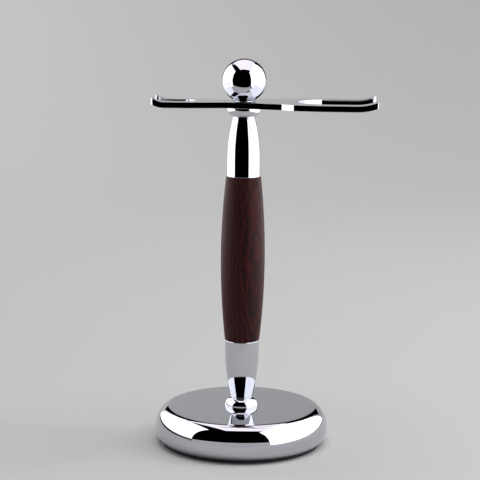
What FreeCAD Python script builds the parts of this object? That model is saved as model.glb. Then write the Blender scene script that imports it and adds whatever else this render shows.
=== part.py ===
"""Counter stand for a safety razor and a shaving brush.

A weighted chrome base carries a turned wooden handle between two chrome ferrules. On top, a flat
chrome holder with a narrow fork and a wide fork is clamped under a ball finial.

Millimetres, +Z up. The origin is the centre of the foot pad's lower face. The wide brush fork
points along +X and the narrow razor fork along -X.
"""

import FreeCAD
import Part
import math
import os

V = FreeCAD.Vector
UP = V(0, 0, 1)

# Base
BASE_DIAMETER = 80.0
BASE_HEIGHT = 17.0  # floor to the flat top
BASE_TOP_DIAMETER = 66.0  # the flat part of the top
BASE_WIDEST_HEIGHT = 7.0
BASE_LOWER_CURVE = 7.0  # radius of the edge below its widest line
SHELL_WALL = 1.2
PAD_DIAMETER = 73.0
PAD_THICKNESS = 1.8
COVER_THICKNESS = 0.8
WEIGHT_DIAMETER = 68.0
WEIGHT_CHAMFER = 1.2
COUNTERBORE_DIAMETER = 14.0

# Stem
COLLAR_DIAMETER = 15.6
COLLAR_HEIGHT = 4.0
COLLAR_RIM = 0.15  # straight part below the curve
COLLAR_CURVE = 4.2
FERRULE_LENGTH = 27.3
LOWER_FERRULE_DIAMETER = 15.7
LOWER_FERRULE_STRAIGHT = 5.0
LOWER_FERRULE_CURVE = 84.0  # radius of the curve that narrows the ferrule
UPPER_FERRULE_DIAMETER = 15.1
UPPER_FERRULE_STRAIGHT = 8.0
UPPER_FERRULE_CURVE = 72.0
SPIGOT_DIAMETER = 10.0
SPIGOT_LENGTH = 4.0
SPIGOT_GAP = 0.05
HANDLE_LENGTH = 75.7
HANDLE_END_DIAMETER = 15.9
HANDLE_MIDDLE_DIAMETER = 20.2
HANDLE_EDGE = 0.4  # rounding at both ends
HANDLE_BORE = 5.5

# Screws: all threads are M5
THREAD_DIAMETER = 5.0
THREAD_GAP = 0.02  # around a screw that stays put
TURNING_GAP = 0.05  # around the finial's stud, which screws in and out
CLEARANCE_HOLE = 5.4
BOLT_ENGAGEMENT = 10.0
BOLT_HEAD_DIAMETER = 8.5
BOLT_HEAD_HEIGHT = 5.0
BOLT_KEY = 4.0  # across the flats of the hexagon socket
BOLT_KEY_DEPTH = 2.5
LOCK_WASHER = (5.2, 9.2, 1.2)  # inner diameter, outer diameter, thickness
LOCK_WASHER_SPLIT = 0.8
FLAT_WASHER = (5.3, 12.0, 1.0)
ROD_IN_LOWER_FERRULE = 14.0
ROD_IN_UPPER_FERRULE = 12.0
STUD_IN_FERRULE = 8.4
STUD_IN_BALL = 8.0

# Holder and finial
FRICTION_WASHER = (5.4, 13.0, 0.3)
FINIAL_WASHER = (5.1, 8.4, 0.2)
BALL_DIAMETER = 20.0
BALL_SEAT = 9.0  # ball centre above its flat seat
PLATE_THICKNESS = 2.7
PLATE_HOLE = 5.3
RAZOR_TIP = -41.0
RAZOR_HALF_WIDTH = 12.6
RAZOR_SLOT_END = -21.8
RAZOR_SLOT_WIDTH = 12.7
RAZOR_SLOT_CORNER = 6.3  # nearly half the slot's width, so its end is round
RAZOR_TIP_CORNER = 1.2
RAZOR_TIP_RISE_START = -35.0  # where the razor prongs begin to turn up
RAZOR_BEND_RADIUS = 9.7  # of the upper face where the prongs turn up
BRUSH_TIP = 59.8
BRUSH_HALF_WIDTH = 23.2
BRUSH_SLOT_END = 24.0
BRUSH_SLOT_WIDTH = 30.4
BRUSH_SLOT_CORNER = 15.1
BRUSH_TIP_OUTER_CORNER = 0.5
BRUSH_TIP_INNER_CORNER = 1.6
BRUSH_TIP_RISE_START = 50.5
BRUSH_BEND_RADIUS = 24.0
WAIST = (-6.0, 8.7)  # narrowest place: X and half width
WAIST_CURVE = 20.0
FLARE_START = (17.4, 16.9)
FLARE_END = (22.8, 20.7)
FLARE_CORNER = 0.4
BRUSH_FORK_SHOULDER = 34.0
BRUSH_FORK_CURVE = 12.0
RAZOR_FORK_SHOULDER = -24.0

# Heights, stacked from the floor up
PAD_TOP = PAD_THICKNESS
COVER_TOP = PAD_TOP + COVER_THICKNESS
BASE_TOP = BASE_HEIGHT
LOWER_COLLAR_TOP = BASE_TOP + COLLAR_HEIGHT
HANDLE_BOTTOM = LOWER_COLLAR_TOP + FERRULE_LENGTH
HANDLE_TOP = HANDLE_BOTTOM + HANDLE_LENGTH
UPPER_FERRULE_TOP = HANDLE_TOP + FERRULE_LENGTH
UPPER_COLLAR_TOP = UPPER_FERRULE_TOP + COLLAR_HEIGHT
PLATE_BOTTOM = UPPER_COLLAR_TOP + FRICTION_WASHER[2]
PLATE_TOP = PLATE_BOTTOM + PLATE_THICKNESS
BALL_FLAT = PLATE_TOP + FINIAL_WASHER[2]
BALL_CENTRE = BALL_FLAT + BALL_SEAT
BOLT_HEAD_BOTTOM = COVER_TOP + 0.8
BOLT_HEAD_TOP = BOLT_HEAD_BOTTOM + BOLT_HEAD_HEIGHT
LOCK_WASHER_TOP = BOLT_HEAD_TOP + LOCK_WASHER[2]
COUNTERBORE_TOP = LOCK_WASHER_TOP + FLAT_WASHER[2]


# Shapes


def at(r, z):
    """A point of a turned part's section, at radius r and height z."""
    return V(r, 0, z)


def line(a, b):
    return Part.LineSegment(at(*a), at(*b)).toShape()


def arc(a, middle, b):
    return Part.Arc(at(*a), at(*middle), at(*b)).toShape()


def quarter_ellipse(centre, across, up):
    """The curve from straight above centre to straight beside it, taller than it is wide."""
    top = at(centre[0], centre[1] + up)
    side = at(centre[0] + across, centre[1])
    return Part.ArcOfEllipse(Part.Ellipse(top, side, at(*centre)), 0, math.pi / 2).toShape()


def turned(edges):
    """The solid that a closed section sweeps in a full turn about the Z axis."""
    section = Part.Face(Part.Wire(Part.__sortEdges__(edges)))
    return section.revolve(V(0, 0, 0), UP, 360)


def cylinder(diameter, bottom, top):
    return Part.makeCylinder(diameter / 2, top - bottom, V(0, 0, bottom))


def washer(size, bottom):
    inner, outer, thickness = size
    top = bottom + thickness
    return cylinder(outer, bottom, top).cut(cylinder(inner, bottom, top))


# Base


def base_section_point(wall, height):
    """Radius of the shell's lower edge curve, drawn in by wall, at a height."""
    middle = BASE_DIAMETER / 2 - BASE_LOWER_CURVE
    radius = BASE_LOWER_CURVE - wall
    return middle + math.sqrt(radius ** 2 - (BASE_WIDEST_HEIGHT - height) ** 2)


def lower_edge(wall):
    """The edge curve from its widest line down to the shell's lip."""
    widest = BASE_DIAMETER / 2 - wall
    halfway = (BASE_WIDEST_HEIGHT + PAD_TOP) / 2
    start = (widest, BASE_WIDEST_HEIGHT)
    middle = (base_section_point(wall, halfway), halfway)
    end = (base_section_point(wall, PAD_TOP), PAD_TOP)
    return arc(start, middle, end)


def base_shell():
    flat = BASE_TOP_DIAMETER / 2
    hole = CLEARANCE_HOLE / 2
    bulge = BASE_DIAMETER / 2 - flat
    rise = BASE_TOP - BASE_WIDEST_HEIGHT
    ceiling = BASE_TOP - SHELL_WALL
    centre = (flat, BASE_WIDEST_HEIGHT)
    return turned([
        line((hole, BASE_TOP), (flat, BASE_TOP)),
        quarter_ellipse(centre, bulge, rise),
        lower_edge(0),
        line((base_section_point(0, PAD_TOP), PAD_TOP),
             (base_section_point(SHELL_WALL, PAD_TOP), PAD_TOP)),
        lower_edge(SHELL_WALL),
        quarter_ellipse(centre, bulge - SHELL_WALL, rise - SHELL_WALL),
        line((flat, ceiling), (hole, ceiling)),
        line((hole, ceiling), (hole, BASE_TOP)),
    ])


def base_weight():
    ceiling = BASE_TOP - SHELL_WALL
    disc = cylinder(WEIGHT_DIAMETER, COVER_TOP, ceiling)
    rims = [e for e in disc.Edges if isinstance(e.Curve, Part.Circle)]
    disc = disc.makeChamfer(WEIGHT_CHAMFER, rims)
    counterbore = cylinder(COUNTERBORE_DIAMETER, COVER_TOP, COUNTERBORE_TOP)
    hole = cylinder(CLEARANCE_HOLE, COUNTERBORE_TOP, ceiling)
    return disc.cut(counterbore).cut(hole)


def base_cover():
    """Thin steel disc that shuts the shell's mouth and backs the foot pad."""
    mouth = 2 * base_section_point(SHELL_WALL, PAD_TOP)
    return cylinder(mouth, PAD_TOP, COVER_TOP)


def foot_pad():
    return cylinder(PAD_DIAMETER, 0, PAD_TOP)


def base_bolt():
    head = cylinder(BOLT_HEAD_DIAMETER, BOLT_HEAD_BOTTOM, BOLT_HEAD_TOP)
    shank_diameter = THREAD_DIAMETER - 2 * THREAD_GAP
    shank = cylinder(shank_diameter, BOLT_HEAD_TOP, LOWER_COLLAR_TOP + BOLT_ENGAGEMENT)
    corner = BOLT_KEY / math.sqrt(3)
    corners = [V(corner * math.cos(i * math.pi / 3), corner * math.sin(i * math.pi / 3),
                 BOLT_HEAD_BOTTOM) for i in range(6)]
    key = Part.Face(Part.makePolygon(corners + corners[:1])).extrude(UP * BOLT_KEY_DEPTH)
    return head.cut(key).fuse(shank).removeSplitter()


def bolt_lock_washer():
    """Spring washer with a slanting split."""
    ring = washer(LOCK_WASHER, BOLT_HEAD_TOP)
    thickness = LOCK_WASHER[2]
    slit = Part.makeBox(LOCK_WASHER[1], LOCK_WASHER_SPLIT, 4 * thickness,
                        V(0, -LOCK_WASHER_SPLIT / 2, -2 * thickness))
    slit.rotate(V(0, 0, 0), V(1, 0, 0), 25)
    slit.translate(V(0, 0, BOLT_HEAD_TOP + thickness / 2))
    return ring.cut(slit)


def bolt_flat_washer():
    return washer(FLAT_WASHER, LOCK_WASHER_TOP)


# Stem


def collar(rim_height, direction):
    """Half bead whose rim starts at rim_height and whose dome points up (1) or down (-1)."""
    rim = COLLAR_DIAMETER / 2
    hole = CLEARANCE_HOLE / 2
    shoulder = rim_height + direction * COLLAR_RIM
    neck = rim_height + direction * COLLAR_HEIGHT
    swing = math.asin((COLLAR_HEIGHT - COLLAR_RIM) / COLLAR_CURVE)

    def on_dome(angle):
        return (rim - COLLAR_CURVE + COLLAR_CURVE * math.cos(angle),
                shoulder + direction * COLLAR_CURVE * math.sin(angle))

    return turned([
        line((hole, rim_height), (rim, rim_height)),
        line((rim, rim_height), (rim, shoulder)),
        arc(on_dome(0), on_dome(swing / 2), on_dome(swing)),
        line(on_dome(swing), (hole, neck)),
        line((hole, neck), (hole, rim_height)),
    ])


def ferrule(wide_height, direction, diameter, straight, curve, bores):
    """Chrome ferrule that starts at the wood and narrows away from it, up (1) or down (-1).

    Its spigot goes the other way, into the wood. curve is the radius of its narrowing side, and
    bores is a list of (diameter, start, end), measured from the wood.
    """
    wide = diameter / 2
    spigot = SPIGOT_DIAMETER / 2
    run = FERRULE_LENGTH - straight

    def narrowed(along):
        return wide - curve + math.sqrt(curve ** 2 - along ** 2)

    def height(along):
        return wide_height + direction * along

    body = turned([
        line((0, height(-SPIGOT_LENGTH)), (spigot, height(-SPIGOT_LENGTH))),
        line((spigot, height(-SPIGOT_LENGTH)), (spigot, height(0))),
        line((spigot, height(0)), (wide, height(0))),
        line((wide, height(0)), (wide, height(straight))),
        arc((wide, height(straight)), (narrowed(run / 2), height(straight + run / 2)),
            (narrowed(run), height(FERRULE_LENGTH))),
        line((narrowed(run), height(FERRULE_LENGTH)), (0, height(FERRULE_LENGTH))),
        line((0, height(FERRULE_LENGTH)), (0, height(-SPIGOT_LENGTH))),
    ])
    for bore, start, end in bores:
        body = body.cut(cylinder(bore, *sorted((height(start), height(end)))))
    return body


def lower_ferrule():
    bores = [(THREAD_DIAMETER, -SPIGOT_LENGTH, FERRULE_LENGTH)]
    return ferrule(HANDLE_BOTTOM, -1, LOWER_FERRULE_DIAMETER, LOWER_FERRULE_STRAIGHT,
                   LOWER_FERRULE_CURVE, bores)


def upper_ferrule():
    stud_bore_start = FERRULE_LENGTH - STUD_IN_FERRULE - 1
    bores = [
        (THREAD_DIAMETER, -SPIGOT_LENGTH, stud_bore_start),
        (THREAD_DIAMETER + 2 * TURNING_GAP, stud_bore_start, FERRULE_LENGTH),
    ]
    return ferrule(HANDLE_TOP, 1, UPPER_FERRULE_DIAMETER, UPPER_FERRULE_STRAIGHT,
                   UPPER_FERRULE_CURVE, bores)


def handle():
    """Barrel turned from laminated wood, bored through, with a recess for each spigot."""
    end = HANDLE_END_DIAMETER / 2
    middle = HANDLE_MIDDLE_DIAMETER / 2
    halfway = (HANDLE_BOTTOM + HANDLE_TOP) / 2
    barrel = turned([
        line((0, HANDLE_BOTTOM), (end, HANDLE_BOTTOM)),
        arc((end, HANDLE_BOTTOM), (middle, halfway), (end, HANDLE_TOP)),
        line((end, HANDLE_TOP), (0, HANDLE_TOP)),
        line((0, HANDLE_TOP), (0, HANDLE_BOTTOM)),
    ])
    rims = [e for e in barrel.Edges if isinstance(e.Curve, Part.Circle) and e.Curve.Radius < middle]
    barrel = barrel.makeFillet(HANDLE_EDGE, rims)
    recess = SPIGOT_DIAMETER + 2 * SPIGOT_GAP
    depth = SPIGOT_LENGTH + 0.2
    for bore in (cylinder(HANDLE_BORE, HANDLE_BOTTOM, HANDLE_TOP),
                 cylinder(recess, HANDLE_BOTTOM, HANDLE_BOTTOM + depth),
                 cylinder(recess, HANDLE_TOP - depth, HANDLE_TOP)):
        barrel = barrel.cut(bore)
    return barrel


def tie_rod():
    """Threaded rod that draws the two ferrules against the wood."""
    diameter = THREAD_DIAMETER - 2 * THREAD_GAP
    return cylinder(diameter, HANDLE_BOTTOM - ROD_IN_LOWER_FERRULE, HANDLE_TOP + ROD_IN_UPPER_FERRULE)


# Holder


def rounded_outline(corners):
    """Closed wire in the XY plane through (x, y, radius) corners, each rounded by an arc."""
    count = len(corners)
    starts, ends, middles = [], [], []
    for i, (x, y, radius) in enumerate(corners):
        here = V(x, y, 0)
        back = (V(*corners[i - 1][:2], 0) - here).normalize()
        ahead = (V(*corners[(i + 1) % count][:2], 0) - here).normalize()
        half_angle = back.getAngle(ahead) / 2
        reach = radius / math.tan(half_angle)
        to_centre = (back + ahead).normalize()
        starts.append(here + back * reach)
        ends.append(here + ahead * reach)
        middles.append(here + to_centre * (radius / math.sin(half_angle) - radius))
    edges = []
    for i in range(count):
        edges.append(Part.Arc(starts[i], middles[i], ends[i]).toShape())
        edges.append(Part.LineSegment(ends[i], starts[(i + 1) % count]).toShape())
    return Part.Wire(edges)


def holder_outline():
    """The holder seen from above: razor fork, waist around the stem, flare, brush fork."""
    razor_slot = RAZOR_SLOT_WIDTH / 2
    brush_slot = BRUSH_SLOT_WIDTH / 2
    one_side = [
        (RAZOR_SLOT_END, razor_slot, RAZOR_SLOT_CORNER),
        (RAZOR_TIP, razor_slot, RAZOR_TIP_CORNER),
        (RAZOR_TIP, RAZOR_HALF_WIDTH, RAZOR_TIP_CORNER),
        (RAZOR_FORK_SHOULDER, RAZOR_HALF_WIDTH, WAIST_CURVE),
        (*WAIST, WAIST_CURVE),
        (*FLARE_START, FLARE_CORNER),
        (*FLARE_END, FLARE_CORNER),
        (BRUSH_FORK_SHOULDER, BRUSH_HALF_WIDTH, BRUSH_FORK_CURVE),
        (BRUSH_TIP, BRUSH_HALF_WIDTH, BRUSH_TIP_OUTER_CORNER),
        (BRUSH_TIP, brush_slot, BRUSH_TIP_INNER_CORNER),
        (BRUSH_SLOT_END, brush_slot, BRUSH_SLOT_CORNER),
    ]
    other_side = [(x, -y, radius) for x, y, radius in reversed(one_side)]
    return rounded_outline(one_side + other_side)


def holder_profile():
    """The holder seen from the front, extruded to its full depth: a strip whose ends curl up."""

    def on_bend(start, side, upper_radius, depth, share):
        """A point at a share of an eighth of a turn up the bend that starts at X = start.

        depth is how far the point lies below the upper face.
        """
        turn = share * math.pi / 4
        radius = upper_radius + depth
        return (start + side * radius * math.sin(turn),
                PLATE_TOP + upper_radius - radius * math.cos(turn))

    def curl(start, side, upper_radius):
        """The three edges of one curled end."""
        edges = []
        for depth in (0, PLATE_THICKNESS):
            edges.append(arc(*[on_bend(start, side, upper_radius, depth, share)
                               for share in (0, 0.5, 1)]))
        edges.append(line(on_bend(start, side, upper_radius, 0, 1),
                          on_bend(start, side, upper_radius, PLATE_THICKNESS, 1)))
        return edges

    left, right = RAZOR_TIP_RISE_START, BRUSH_TIP_RISE_START
    edges = [
        line((left, PLATE_BOTTOM), (right, PLATE_BOTTOM)),
        line((right, PLATE_TOP), (left, PLATE_TOP)),
    ]
    edges += curl(left, -1, RAZOR_BEND_RADIUS) + curl(right, 1, BRUSH_BEND_RADIUS)
    strip = Part.Face(Part.Wire(Part.__sortEdges__(edges)))
    strip.translate(V(0, -2 * BRUSH_HALF_WIDTH, 0))
    return strip.extrude(V(0, 4 * BRUSH_HALF_WIDTH, 0))


def holder_plate():
    blank = Part.Face(holder_outline()).extrude(UP * 2 * PLATE_TOP)
    plate = holder_profile().common(blank)
    return plate.cut(cylinder(PLATE_HOLE, PLATE_BOTTOM, PLATE_TOP)).Solids[0]


# Finial


def finial_ball():
    ball = Part.makeSphere(BALL_DIAMETER / 2, V(0, 0, BALL_CENTRE))
    below = cylinder(2 * BALL_DIAMETER, BALL_CENTRE - BALL_DIAMETER, BALL_FLAT)
    socket = cylinder(THREAD_DIAMETER, BALL_FLAT, BALL_FLAT + STUD_IN_BALL)
    return ball.cut(below).cut(socket)


def finial_stud():
    diameter = THREAD_DIAMETER - 2 * THREAD_GAP
    return cylinder(diameter, UPPER_FERRULE_TOP - STUD_IN_FERRULE, BALL_FLAT + STUD_IN_BALL)


NODES = {
    "foot_pad": foot_pad(),
    "base_cover": base_cover(),
    "base_weight": base_weight(),
    "base_shell": base_shell(),
    "base_bolt": base_bolt(),
    "bolt_lock_washer": bolt_lock_washer(),
    "bolt_flat_washer": bolt_flat_washer(),
    "lower_collar": collar(BASE_TOP, 1),
    "lower_ferrule": lower_ferrule(),
    "handle": handle(),
    "tie_rod": tie_rod(),
    "upper_ferrule": upper_ferrule(),
    "upper_collar": collar(UPPER_COLLAR_TOP, -1),
    "friction_washer": washer(FRICTION_WASHER, UPPER_COLLAR_TOP),
    "holder_plate": holder_plate(),
    "finial_washer": washer(FINIAL_WASHER, PLATE_TOP),
    "finial_ball": finial_ball(),
    "finial_stud": finial_stud(),
}

os.makedirs("parts", exist_ok=True)
for name, shape in NODES.items():
    shape.exportStep(f"parts/{name}.step")
    box = shape.BoundBox
    print(f"{name:18} {len(shape.Solids)} solid, {shape.Volume:9.1f} mm3, valid {shape.isValid()}, "
          f"X {box.XMin:.2f} to {box.XMax:.2f}, Z {box.ZMin:.2f} to {box.ZMax:.2f}")
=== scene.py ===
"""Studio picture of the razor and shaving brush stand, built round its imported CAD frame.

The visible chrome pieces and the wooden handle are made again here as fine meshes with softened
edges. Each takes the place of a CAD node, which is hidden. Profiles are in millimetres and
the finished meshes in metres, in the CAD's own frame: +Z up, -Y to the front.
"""

import math

import bmesh
import bpy
from mathutils import Matrix, Quaternion, Vector


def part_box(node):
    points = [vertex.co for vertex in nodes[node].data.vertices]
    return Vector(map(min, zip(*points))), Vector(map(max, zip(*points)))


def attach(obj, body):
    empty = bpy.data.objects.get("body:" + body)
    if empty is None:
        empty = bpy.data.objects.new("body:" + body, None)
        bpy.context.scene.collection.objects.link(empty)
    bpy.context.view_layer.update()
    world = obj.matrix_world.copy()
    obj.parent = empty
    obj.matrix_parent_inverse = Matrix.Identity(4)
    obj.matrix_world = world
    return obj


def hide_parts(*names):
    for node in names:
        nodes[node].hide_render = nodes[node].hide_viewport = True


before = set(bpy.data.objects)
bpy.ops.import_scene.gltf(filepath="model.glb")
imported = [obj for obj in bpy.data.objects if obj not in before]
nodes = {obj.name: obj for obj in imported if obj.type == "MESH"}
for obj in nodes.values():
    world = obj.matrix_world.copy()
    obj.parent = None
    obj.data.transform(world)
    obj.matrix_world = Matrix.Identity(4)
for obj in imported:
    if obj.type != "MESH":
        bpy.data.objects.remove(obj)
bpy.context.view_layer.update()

MM = 0.001
TURNED_STEPS = 256  # facets round a turned piece


def node_mm(name):
    """Lowest height, highest height and largest radius of a CAD node, in millimetres."""
    low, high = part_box(name)
    return low.z / MM, high.z / MM, high.x / MM


# Profiles


def arc(centre, radius, start, end, steps=16):
    """Points along a circular arc, from angle start to angle end in degrees."""
    angles = [math.radians(start + (end - start) * i / steps) for i in range(steps + 1)]
    return [(centre[0] + radius * math.cos(a), centre[1] + radius * math.sin(a)) for a in angles]


def ellipse_arc(centre, across, up, start, end, steps=24):
    """Like arc, on an ellipse with the given half axes."""
    angles = [math.radians(start + (end - start) * i / steps) for i in range(steps + 1)]
    return [(centre[0] + across * math.cos(a), centre[1] + up * math.sin(a)) for a in angles]


def rounded(corners, steps=5):
    """A closed outline through corners (x, y, radius), each with its own rounding."""
    outline = []
    count = len(corners)
    for i, (x, y, radius) in enumerate(corners):
        here = Vector((x, y))
        if radius == 0:
            outline.append(here)
            continue
        before = (Vector(corners[i - 1][:2]) - here).normalized()
        after = (Vector(corners[(i + 1) % count][:2]) - here).normalized()
        half = before.angle(after) / 2
        start = here + before * (radius / math.tan(half))
        end = here + after * (radius / math.tan(half))
        centre = here + (before + after).normalized() * (radius / math.sin(half))
        first, last = start - centre, end - centre
        turn = first.angle_signed(last)
        for k in range(steps + 1):
            spoke = first.copy()
            spoke.rotate(Matrix.Rotation(-turn * k / steps, 2))
            outline.append(centre + spoke)
    return outline


def sharp(points):
    """Corners without rounding, for rounded()."""
    return [(x, y, 0) for x, y in points]


# Meshes


def add_piece(name, mesh, body, slot, *replaced):
    piece = bpy.data.objects.new(name, mesh)
    bpy.context.scene.collection.objects.link(piece)
    mesh.shade_smooth()
    mesh.set_sharp_from_angle(angle=math.radians(50))
    weighted = piece.modifiers.new("Weighted normals", "WEIGHTED_NORMAL")
    weighted.keep_sharp = True
    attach(piece, body)
    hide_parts(*replaced)
    return piece


def turned(name, outline, body, slot, *replaced):
    """A turned piece: outline is a closed run of (radius, height) in millimetres."""
    bm = bmesh.new()
    rings = []
    for r, z in outline:
        if r < 1e-6:
            rings.append([bm.verts.new((0, 0, z * MM))])
            continue
        spokes = [2 * math.pi * i / TURNED_STEPS for i in range(TURNED_STEPS)]
        rings.append([bm.verts.new((r * MM * math.cos(a), r * MM * math.sin(a), z * MM)) for a in spokes])
    for lower, upper in zip(rings, rings[1:] + rings[:1]):
        if len(lower) == len(upper) == 1:
            continue
        for i in range(TURNED_STEPS):
            j = (i + 1) % TURNED_STEPS
            corners = [lower[i % len(lower)], lower[j % len(lower)],
                       upper[j % len(upper)], upper[i % len(upper)]]
            bm.faces.new(list(dict.fromkeys(corners)))
    bmesh.ops.recalc_face_normals(bm, faces=bm.faces)
    mesh = bpy.data.meshes.new(name)
    bm.to_mesh(mesh)
    bm.free()
    return add_piece(name, mesh, body, slot, *replaced)


# Base

BASE_FLAT = 33.0
BASE_WIDEST_HEIGHT = 7.0
BASE_LOWER_CURVE = 7.0
SHELL_WALL = 1.2
BOLT_HOLE = 2.7
BASE_STEPS = 40


def base_side(wall):
    """The shell's side from its flat top down to its lip, drawn in by wall."""
    bottom, top, radius = node_mm("base_shell")
    upper_half = (BASE_FLAT, BASE_WIDEST_HEIGHT)
    side = ellipse_arc(upper_half, radius - BASE_FLAT - wall, top - BASE_WIDEST_HEIGHT - wall,
                       90, 0, BASE_STEPS)
    lower_centre = (radius - BASE_LOWER_CURVE, BASE_WIDEST_HEIGHT)
    lower_radius = BASE_LOWER_CURVE - wall
    lip = math.degrees(math.asin((bottom - BASE_WIDEST_HEIGHT) / lower_radius))
    return side + arc(lower_centre, lower_radius, 0, lip, 20)[1:]


def make_base():
    top = node_mm("base_shell")[1]
    outside = [(BOLT_HOLE, top)] + base_side(0)
    inside = list(reversed(base_side(SHELL_WALL))) + [(BOLT_HOLE, top - SHELL_WALL)]
    return turned("base", outside + inside, "stem", "chrome", "base_shell")


# Collars, ferrules and handle

COLLAR_RIM = 0.15
COLLAR_CURVE = 4.2
THREAD_HOLE = 2.52
SPIGOT_RADIUS = 5.0
SPIGOT_LENGTH = 4.0
FERRULE_EDGE = 0.35
FERRULE_STEPS = 28
LOWER_FERRULE_STRAIGHT = 5.0
LOWER_FERRULE_CURVE = 84.0
UPPER_FERRULE_STRAIGHT = 8.0
UPPER_FERRULE_CURVE = 72.0


def make_collar(name, wide_end_down):
    """Half bead: a dome, cut off flat where the ferrule meets it."""
    low, high, radius = node_mm(name)
    height = high - low
    cut = math.degrees(math.asin((height - COLLAR_RIM) / COLLAR_CURVE))
    dome = arc((radius - COLLAR_CURVE, COLLAR_RIM), COLLAR_CURVE, 0, cut, 24)
    outline = [(BOLT_HOLE, 0, 0), (radius, 0, 0.07)] + sharp(dome) + [(BOLT_HOLE, height, 0)]
    if wide_end_down:
        placed = [(x, low + z) for x, z in rounded(outline)]
    else:
        placed = [(x, high - z) for x, z in rounded(outline)]
    return turned(name.replace("collar", "bead"), placed, "stem", "chrome", name)


def make_ferrule(name, straight, curve, wide_end_up):
    """A ferrule narrows from the wood towards its collar along one large curve."""
    low, high, radius = node_mm(name)
    length = high - low - SPIGOT_LENGTH
    curved = length - straight
    wall = []
    for i in range(FERRULE_STEPS + 1):
        rise = curved * (1 - i / FERRULE_STEPS)
        wall.append((radius - (curve - math.sqrt(curve ** 2 - rise ** 2)), curved - rise))
    narrow = wall[0][0]
    corners = [(THREAD_HOLE, 0, 0), (narrow, 0, 0.15)] + sharp(wall[1:])
    corners += [(radius, length, FERRULE_EDGE), (SPIGOT_RADIUS, length, 0)]
    corners += [(SPIGOT_RADIUS, length + SPIGOT_LENGTH, 0.3), (THREAD_HOLE, length + SPIGOT_LENGTH, 0)]
    if wide_end_up:
        placed = [(x, low + z) for x, z in rounded(corners)]
    else:
        placed = [(x, high - z) for x, z in rounded(corners)]
    return turned(name.replace("ferrule", "sleeve"), placed, "stem", "chrome", name)


HANDLE_BORE = 2.75
HANDLE_SOCKET = 5.05
HANDLE_END_RADIUS = 7.95
HANDLE_EDGE = 0.45
HANDLE_STEPS = 60
SOCKET_CLEARANCE = 0.1  # below the spigot's end


def make_handle():
    """Barrel of laminated wood, with a socket for a ferrule's spigot at each end."""
    low, high, widest = node_mm("handle")
    half = (high - low) / 2
    belly = widest - HANDLE_END_RADIUS
    curve = (half ** 2 + belly ** 2) / (2 * belly)
    side = []
    for i in range(1, HANDLE_STEPS):
        z = -half + 2 * half * i / HANDLE_STEPS
        side.append((widest - curve + math.sqrt(curve ** 2 - z ** 2), z, 0))
    socket = half - SPIGOT_LENGTH - SOCKET_CLEARANCE
    corners = [(HANDLE_SOCKET, -half, 0), (HANDLE_END_RADIUS, -half, HANDLE_EDGE)] + side
    corners += [(HANDLE_END_RADIUS, half, HANDLE_EDGE), (HANDLE_SOCKET, half, 0)]
    corners += [(HANDLE_SOCKET, socket, 0), (HANDLE_BORE, socket, 0)]
    corners += [(HANDLE_BORE, -socket, 0), (HANDLE_SOCKET, -socket, 0)]
    middle = (low + high) / 2
    placed = [(x, middle + z) for x, z in rounded(corners)]
    return turned("handle_barrel", placed, "stem", "laminated_wood", "handle")


BALL_HOLE_DEPTH = 8.0
BALL_STEPS = 120


def make_ball():
    """Ball with a flat seat and a blind hole for its stud."""
    low, high, radius = node_mm("finial_ball")
    centre = high - radius
    seat = math.degrees(math.asin((low - centre) / radius))
    side = arc((0, centre), radius, seat, 90, BALL_STEPS)
    hole_top = low + BALL_HOLE_DEPTH
    outline = [(0, hole_top), (THREAD_HOLE, hole_top), (THREAD_HOLE, low)] + side[:-1] + [(0, high)]
    return turned("ball", outline, "finial", "chrome", "finial_ball")


# Holder

RAZOR_HALF_WIDTH = 12.6
RAZOR_SLOT_END = -21.8
RAZOR_SLOT_WIDTH = 12.7
RAZOR_SLOT_CORNER = 6.3  # nearly half the slot's width, so its end is round
RAZOR_TIP_CORNER = 1.2
RAZOR_TIP_RISE_START = -35.0
RAZOR_BEND_RADIUS = 9.7  # of the upper face
RAZOR_FORK_SHOULDER = -24.0
WAIST = (-6.0, 8.7)
WAIST_CURVE = 20.0
FLARE_START = (17.4, 16.9)
FLARE_END = (22.8, 20.7)
FLARE_CORNER = 0.4
BRUSH_FORK_SHOULDER = 34.0
BRUSH_FORK_CURVE = 12.0
BRUSH_HALF_WIDTH = 23.2
BRUSH_SLOT_END = 24.0
BRUSH_SLOT_WIDTH = 30.4
BRUSH_SLOT_CORNER = 15.1
BRUSH_TIP_OUTER_CORNER = 0.5
BRUSH_TIP_INNER_CORNER = 1.6
BRUSH_TIP_RISE_START = 50.5
BRUSH_BEND_RADIUS = 24.0
PLATE_THICKNESS = 2.7
PLATE_EDGE = 0.12
PLATE_HOLE = 2.65
CORNER_STEPS = 24
BEND_SLICES = 24
BEND_SLICE = 0.4


def holder_outline():
    """The holder seen from above: one side's corners, then the same corners mirrored."""
    low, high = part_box("holder_plate")
    razor_tip, brush_tip = low.x / MM, high.x / MM
    razor_slot, brush_slot = RAZOR_SLOT_WIDTH / 2, BRUSH_SLOT_WIDTH / 2
    one_side = [
        (RAZOR_SLOT_END, razor_slot, RAZOR_SLOT_CORNER),
        (razor_tip, razor_slot, RAZOR_TIP_CORNER),
        (razor_tip, RAZOR_HALF_WIDTH, RAZOR_TIP_CORNER),
        (RAZOR_FORK_SHOULDER, RAZOR_HALF_WIDTH, WAIST_CURVE),
        (*WAIST, WAIST_CURVE),
        (*FLARE_START, FLARE_CORNER),
        (*FLARE_END, FLARE_CORNER),
        (BRUSH_FORK_SHOULDER, BRUSH_HALF_WIDTH, BRUSH_FORK_CURVE),
        (brush_tip, BRUSH_HALF_WIDTH, BRUSH_TIP_OUTER_CORNER),
        (brush_tip, brush_slot, BRUSH_TIP_INNER_CORNER),
        (BRUSH_SLOT_END, brush_slot, BRUSH_SLOT_CORNER),
    ]
    other_side = [(x, -y, radius) for x, y, radius in reversed(one_side)]
    return rounded(one_side + other_side, CORNER_STEPS)


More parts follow.
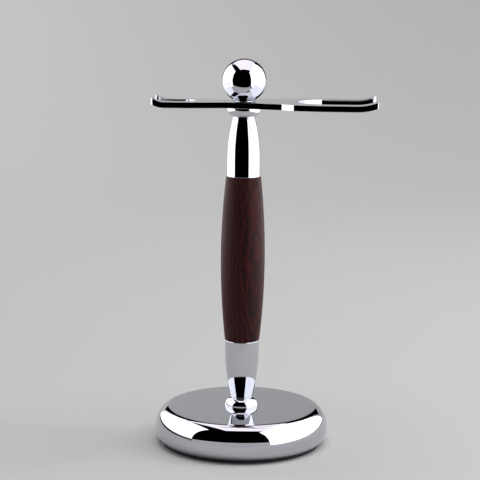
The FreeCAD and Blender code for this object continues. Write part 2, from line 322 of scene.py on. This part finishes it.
def tip_rise(x, height):
    """How far a point of the plate is lifted where the prong tips curl up."""
    if x > BRUSH_TIP_RISE_START:
        run, radius = x - BRUSH_TIP_RISE_START, BRUSH_BEND_RADIUS
    elif x < RAZOR_TIP_RISE_START:
        run, radius = RAZOR_TIP_RISE_START - x, RAZOR_BEND_RADIUS
    else:
        return 0
    radius += PLATE_THICKNESS - height
    return radius - math.sqrt(radius ** 2 - run ** 2)


def add_spline(curve, points):
    spline = curve.splines.new("POLY")
    spline.points.add(len(points) - 1)
    for place, (x, y) in zip(spline.points, points):
        place.co = (x * MM, y * MM, 0, 1)
    spline.use_cyclic_u = True


def make_holder():
    bottom = node_mm("holder_plate")[0]
    curve = bpy.data.curves.new("holder outline", "CURVE")
    curve.dimensions = "2D"
    curve.fill_mode = "BOTH"
    add_spline(curve, holder_outline())
    add_spline(curve, arc((0, 0), PLATE_HOLE, 0, 360, 64)[:-1])
    curve.offset = -PLATE_EDGE * MM
    curve.bevel_depth = PLATE_EDGE * MM
    curve.bevel_resolution = 3
    curve.extrude = (PLATE_THICKNESS / 2 - PLATE_EDGE) * MM
    flat = bpy.data.objects.new("holder outline", curve)
    bpy.context.scene.collection.objects.link(flat)
    bpy.context.view_layer.update()
    mesh = bpy.data.meshes.new_from_object(flat)
    bpy.data.objects.remove(flat)
    bm = bmesh.new()
    bm.from_mesh(mesh)
    bmesh.ops.remove_doubles(bm, verts=bm.verts, dist=1e-7)
    for start, way in ((RAZOR_TIP_RISE_START, -1), (BRUSH_TIP_RISE_START, 1)):
        for i in range(BEND_SLICES):
            x = (start + way * BEND_SLICE * i) * MM
            geometry = bm.verts[:] + bm.edges[:] + bm.faces[:]
            bmesh.ops.bisect_plane(bm, geom=geometry, plane_co=(x, 0, 0), plane_no=(1, 0, 0), dist=1e-7)
    for v in bm.verts:
        height = v.co.z / MM + PLATE_THICKNESS / 2
        v.co.z = (bottom + height + tip_rise(v.co.x / MM, height)) * MM
    bmesh.ops.recalc_face_normals(bm, faces=bm.faces)
    bm.to_mesh(mesh)
    bm.free()
    mesh.name = "holder"
    return add_piece("holder", mesh, "holder", "chrome", "holder_plate")


# Materials


def new_material(name):
    material = bpy.data.materials.new(name)
    material.use_nodes = True
    return material, material.node_tree, material.node_tree.nodes["Principled BSDF"]


def noise(tree, scale, detail=4, coordinates=None):
    node = tree.nodes.new("ShaderNodeTexNoise")
    node.inputs["Scale"].default_value = scale
    node.inputs["Detail"].default_value = detail
    if coordinates is None:
        coordinates = tree.nodes.new("ShaderNodeTexCoord").outputs["Object"]
    tree.links.new(coordinates, node.inputs["Vector"])
    return node.outputs["Fac"]


def ramp(tree, factor, stops):
    """Colour ramp: stops are (position, (r, g, b))."""
    node = tree.nodes.new("ShaderNodeValToRGB")
    elements = node.color_ramp.elements
    while len(elements) < len(stops):
        elements.new(0.5)
    for element, (position, colour) in zip(elements, stops):
        element.position = position
        element.color = (*colour, 1)
    tree.links.new(factor, node.inputs["Fac"])
    return node.outputs["Color"]


def spread(tree, factor, low, high):
    node = tree.nodes.new("ShaderNodeMapRange")
    node.inputs["From Min"].default_value = 0.3
    node.inputs["From Max"].default_value = 0.7
    node.inputs["To Min"].default_value = low
    node.inputs["To Max"].default_value = high
    tree.links.new(factor, node.inputs["Value"])
    return node.outputs["Result"]


def bump(tree, shader, height, strength, distance):
    node = tree.nodes.new("ShaderNodeBump")
    node.inputs["Strength"].default_value = strength
    node.inputs["Distance"].default_value = distance
    tree.links.new(height, node.inputs["Height"])
    tree.links.new(node.outputs["Normal"], shader.inputs["Normal"])


def math_node(tree, operation, *values):
    node = tree.nodes.new("ShaderNodeMath")
    node.operation = operation
    for socket, value in zip(node.inputs, values):
        if isinstance(value, (int, float)):
            socket.default_value = value
        else:
            tree.links.new(value, socket)
    return node.outputs["Value"]


def chrome():
    """Mirror plating with a faint haze of handling marks."""
    material, tree, shader = new_material("mirror chrome")
    shader.inputs["Base Color"].default_value = (0.61, 0.62, 0.67, 1)
    shader.inputs["Metallic"].default_value = 1
    haze = spread(tree, noise(tree, 60), 0.015, 0.045)
    tree.links.new(haze, shader.inputs["Roughness"])
    return material


VENEER = 0.0013  # metres from one dark veneer to the next
VENEER_WAVE = 0.0036
VENEER_TILT = 50  # degrees about the stem


def laminated_wood():
    """Veneers dyed dark red and black, pressed together and turned, so that they show as arches."""
    material, tree, shader = new_material("laminated wood")
    mapping = tree.nodes.new("ShaderNodeMapping")
    mapping.inputs["Rotation"].default_value = (0, 0, math.radians(VENEER_TILT))
    place = tree.nodes.new("ShaderNodeTexCoord").outputs["Object"]
    tree.links.new(place, mapping.inputs["Vector"])
    split = tree.nodes.new("ShaderNodeSeparateXYZ")
    tree.links.new(mapping.outputs["Vector"], split.inputs["Vector"])
    stretch = tree.nodes.new("ShaderNodeMapping")
    stretch.inputs["Scale"].default_value = (1, 1, 0.55)
    tree.links.new(mapping.outputs["Vector"], stretch.inputs["Vector"])
    waves = noise(tree, 160, 2, stretch.outputs["Vector"])
    wavy = math_node(tree, "MULTIPLY_ADD", waves, VENEER_WAVE, split.outputs["X"])
    phase = math_node(tree, "MULTIPLY", wavy, 2 * math.pi / VENEER)
    layers = math_node(tree, "MULTIPLY_ADD", math_node(tree, "SINE", phase), 0.5, 0.5)
    veneer = ramp(tree, layers, [
        (0.0, (0.024, 0.006, 0.007)),
        (0.35, (0.036, 0.007, 0.008)),
        (0.75, (0.054, 0.008, 0.009)),
        (1.0, (0.072, 0.011, 0.011)),
    ])
    grain_scale = tree.nodes.new("ShaderNodeMapping")
    grain_scale.inputs["Scale"].default_value = (1, 1, 0.06)
    tree.links.new(mapping.outputs["Vector"], grain_scale.inputs["Vector"])
    grain = noise(tree, 2600, 6, grain_scale.outputs["Vector"])
    streaks = ramp(tree, grain, [(0.35, (0.62, 0.55, 0.55)), (0.6, (1, 1, 1))])
    mix = tree.nodes.new("ShaderNodeMix")
    mix.data_type = "RGBA"
    mix.blend_type = "MULTIPLY"
    mix.inputs["Factor"].default_value = 0.8
    tree.links.new(veneer, mix.inputs["A"])
    tree.links.new(streaks, mix.inputs["B"])
    tree.links.new(mix.outputs["Result"], shader.inputs["Base Color"])
    tree.links.new(spread(tree, grain, 0.40, 0.52), shader.inputs["Roughness"])
    shader.inputs["Specular IOR Level"].default_value = 0.12
    shader.inputs["Sheen Weight"].default_value = 0.12
    shader.inputs["Sheen Roughness"].default_value = 0.4
    shader.inputs["Sheen Tint"].default_value = (1, 0.35, 0.33, 1)
    bump(tree, shader, grain, 0.15, 0.0001)
    return material


def plain(name, colour, metallic, roughness, scale, relief):
    """A material with a fine grain: colour and roughness vary a little, and the surface has relief."""
    material, tree, shader = new_material(name)
    texture = noise(tree, scale)
    dark = tuple(c * 0.8 for c in colour)
    light = tuple(min(1, c * 1.15) for c in colour)
    tree.links.new(ramp(tree, texture, [(0.3, dark), (0.7, light)]), shader.inputs["Base Color"])
    shader.inputs["Metallic"].default_value = metallic
    tree.links.new(spread(tree, texture, roughness * 0.85, roughness * 1.15), shader.inputs["Roughness"])
    bump(tree, shader, texture, 0.4, relief)
    return material


def paint(piece, material):
    piece.data.materials.clear()
    piece.data.materials.append(material)
    for polygon in piece.data.polygons:
        polygon.material_index = 0


# Studio


def panel(name, place, facing, size, colour, radiance, seen_by, lean=0):
    """A flat soft light, seen only by "gloss" or only by "diffuse" surfaces, and never by the camera."""
    light = bpy.data.lights.new(name, "AREA")
    light.shape = "RECTANGLE"
    light.size, light.size_y = size
    light.color = colour
    light.energy = radiance * size[0] * size[1] * math.pi
    lamp = bpy.data.objects.new(name, light)
    lamp.location = place
    lamp.rotation_mode = "QUATERNION"
    aim = Vector(facing).to_track_quat("-Z", "Y")
    lamp.rotation_quaternion = aim @ Quaternion((0, 0, 1), math.radians(lean))
    lamp.visible_camera = False
    lamp.visible_glossy = seen_by == "gloss"
    lamp.visible_diffuse = seen_by == "diffuse"
    bpy.context.scene.collection.objects.link(lamp)


def quad(name, corners, material, chrome_only=False):
    mesh = bpy.data.meshes.new(name)
    mesh.from_pydata(corners, [], [tuple(range(len(corners)))])
    sheet = bpy.data.objects.new(name, mesh)
    bpy.context.scene.collection.objects.link(sheet)
    mesh.materials.append(material)
    if chrome_only:
        sheet.visible_camera = False
        sheet.visible_diffuse = False
        sheet.visible_shadow = False
        sheet.visible_transmission = False
    return sheet


FLOOR_RADIUS = 0.8
WALL_CURVE = 1.2
WALL_TOP = 2.4


def make_backdrop():
    """Round seamless sheet: a floor that curves up into a wall on every side."""
    profile = [(0, 0)] + [(FLOOR_RADIUS * i / 12, 0) for i in range(1, 12)]
    profile += arc((FLOOR_RADIUS, WALL_CURVE), WALL_CURVE, -90, 0, 48)
    profile.append((FLOOR_RADIUS + WALL_CURVE, WALL_TOP))
    steps = 96
    bm = bmesh.new()
    rings = []
    for r, z in profile:
        if r == 0:
            rings.append([bm.verts.new((0, 0, z))])
            continue
        spokes = [2 * math.pi * i / steps for i in range(steps)]
        rings.append([bm.verts.new((r * math.cos(a), r * math.sin(a), z)) for a in spokes])
    for inner, outer in zip(rings, rings[1:]):
        for i in range(steps):
            j = (i + 1) % steps
            corners = [inner[i % len(inner)], outer[i], outer[j], inner[j % len(inner)]]
            bm.faces.new(list(dict.fromkeys(corners)))
    mesh = bpy.data.meshes.new("backdrop")
    bm.to_mesh(mesh)
    bm.free()
    mesh.shade_smooth()
    backdrop = bpy.data.objects.new("backdrop", mesh)
    bpy.context.scene.collection.objects.link(backdrop)
    material, _, shader = new_material("pale paper")
    shader.inputs["Base Color"].default_value = (0.6, 0.6, 0.6, 1)
    shader.inputs["Roughness"].default_value = 0.9
    shader.inputs["Specular IOR Level"].default_value = 0
    mesh.materials.append(material)


def card_across(name, y, x_range, z_range, material):
    """An upright card that faces the stand from the front or the back."""
    (left, right), (low, high) = x_range, z_range
    quad(name, [(left, y, low), (right, y, low), (right, y, high), (left, y, high)], material, True)


def card_along(name, x, y_range, z_range, material):
    """An upright card beside the stand."""
    (front, back), (low, high) = y_range, z_range
    quad(name, [(x, front, low), (x, back, low), (x, back, high), (x, front, high)], material, True)


def card_flat(name, x_range, y_range, z, material):
    """A level card above or in front of the stand."""
    (left, right), (front, back) = x_range, y_range
    quad(name, [(left, front, z), (right, front, z), (right, back, z), (left, back, z)], material, True)


def make_studio():
    make_backdrop()
    white, warm = (1, 1, 1), (1, 0.93, 0.95)
    panel("left light", (-0.27, 0.125, 0.245), (1, 0, 0), (0.55, 0.42), white, 2.1, "gloss")
    panel("right light", (0.22, 0.0, 0.277), (-1, 0, 0), (0.57, 0.53), white, 2.1, "gloss", 3)
    panel("top light", (-0.05, 0.1025, 0.54), (0, 0, -1), (0.53, 0.615), warm, 1.55, "gloss")
    panel("ceiling light", (0.15, -0.1, 2.3), (0, 0, -1), (2.0, 1.8), white, 3.1, "diffuse")
    panel("key light", (0.7, 0.1, 0.75), (-0.7, -0.1, -0.72), (0.5, 0.5), white, 4.0, "diffuse")
    panel("backdrop light", (-0.9, 1.0, 0.8), (0.5, 0.5, -0.7), (0.6, 0.6), white, 2.9, "diffuse")

    # Black cards and a flag, seen only in the chrome and hidden from the camera, the lamps and shadows:
    # painted dark reflections over the lit floor, backdrop and light.
    black, _, shader = new_material("black card")
    shader.inputs["Base Color"].default_value = (0, 0, 0, 1)
    shader.inputs["Specular IOR Level"].default_value = 0
    card_across("black front", -0.55, (-1, 1), (-0.1, 1.5), black)
    card_along("black left", -0.5, (-0.55, 0.6), (0.02, 1.5), black)
    card_along("black right", 0.5, (-0.55, 0.6), (0.02, 1.5), black)
    card_across("black above backdrop", 0.5, (-1, 1), (0.42, 1.5), black)
    card_across("black left of backdrop", 0.5, (-0.27, -0.14), (0.15, 0.42), black)
    card_across("black right of backdrop", 0.5, (0.12, 0.3), (0.15, 0.42), black)
    card_flat("black floor", (-1, 1), (-0.6, -0.2), 0.002, black)
    card_flat("black ceiling", (-1, 1), (-0.6, 0.6), 1, black)
    flag = [(-0.36, -0.22, 0.535), (-0.13, -0.22, 0.535), (-0.27, 0.28, 0.535), (-0.36, 0.28, 0.535)]
    quad("black flag", flag, black, True)
    # A card seen only in the chrome that glows though it is no lamp: a painted reflection of a lit table
    # edge in front of the stand.
    lip, _, shader = new_material("glowing lip card")
    shader.inputs["Base Color"].default_value = (0, 0, 0, 1)
    shader.inputs["Emission Color"].default_value = (1, 1, 1, 1)
    shader.inputs["Emission Strength"].default_value = 0.5
    card_across("glowing lip card", -0.195, (-0.35, 0.15), (0, 0.043), lip)

    world = bpy.data.worlds.new("studio")
    world.use_nodes = True
    world.node_tree.nodes["Background"].inputs["Color"].default_value = (0, 0, 0, 1)
    bpy.context.scene.world = world


CAMERA_DISTANCE = 0.6999
CAMERA_HEIGHT = 0.2101
CAMERA_AZIMUTH = 3.0
CAMERA_PITCH = 9.36
CAMERA_TURN = 0.11
CAMERA_ROLL = 0.52


def make_camera():
    data = bpy.data.cameras.new("camera")
    data.sensor_width = 36
    data.lens = 116.25
    data.clip_start = 0.01
    camera = bpy.data.objects.new("camera", data)
    azimuth = math.radians(CAMERA_AZIMUTH)
    camera.location = (CAMERA_DISTANCE * math.sin(azimuth), -CAMERA_DISTANCE * math.cos(azimuth),
                       CAMERA_HEIGHT)
    turn = Matrix.Rotation(azimuth + math.radians(CAMERA_TURN), 4, "Z")
    tilt = Matrix.Rotation(math.radians(90 - CAMERA_PITCH), 4, "X")
    roll = Matrix.Rotation(math.radians(CAMERA_ROLL), 4, "Z")
    camera.rotation_mode = "QUATERNION"
    camera.rotation_quaternion = (turn @ tilt @ roll).to_quaternion()
    bpy.context.scene.collection.objects.link(camera)
    bpy.context.scene.camera = camera


mirror = chrome()
for piece in (make_base(), make_collar("lower_collar", True), make_collar("upper_collar", False),
              make_ferrule("lower_ferrule", LOWER_FERRULE_STRAIGHT, LOWER_FERRULE_CURVE, True),
              make_ferrule("upper_ferrule", UPPER_FERRULE_STRAIGHT, UPPER_FERRULE_CURVE, False),
              make_ball(), make_holder()):
    paint(piece, mirror)
paint(make_handle(), laminated_wood())

zinc = plain("zinc plated steel", (0.60, 0.61, 0.60), 1, 0.32, 900, 0.00001)
for name in ("base_cover", "base_bolt", "bolt_lock_washer", "bolt_flat_washer", "tie_rod",
             "finial_washer", "finial_stud"):
    paint(nodes[name], zinc)
paint(nodes["base_weight"], plain("cast iron", (0.10, 0.10, 0.105), 0.6, 0.65, 700, 0.0001))
paint(nodes["foot_pad"], plain("foam rubber", (0.015, 0.015, 0.017), 0, 0.85, 1500, 0.00008))
paint(nodes["friction_washer"], plain("nylon", (0.80, 0.79, 0.75), 0, 0.45, 400, 0.00001))

make_studio()
make_camera()
bpy.context.scene.view_settings.view_transform = "Standard"
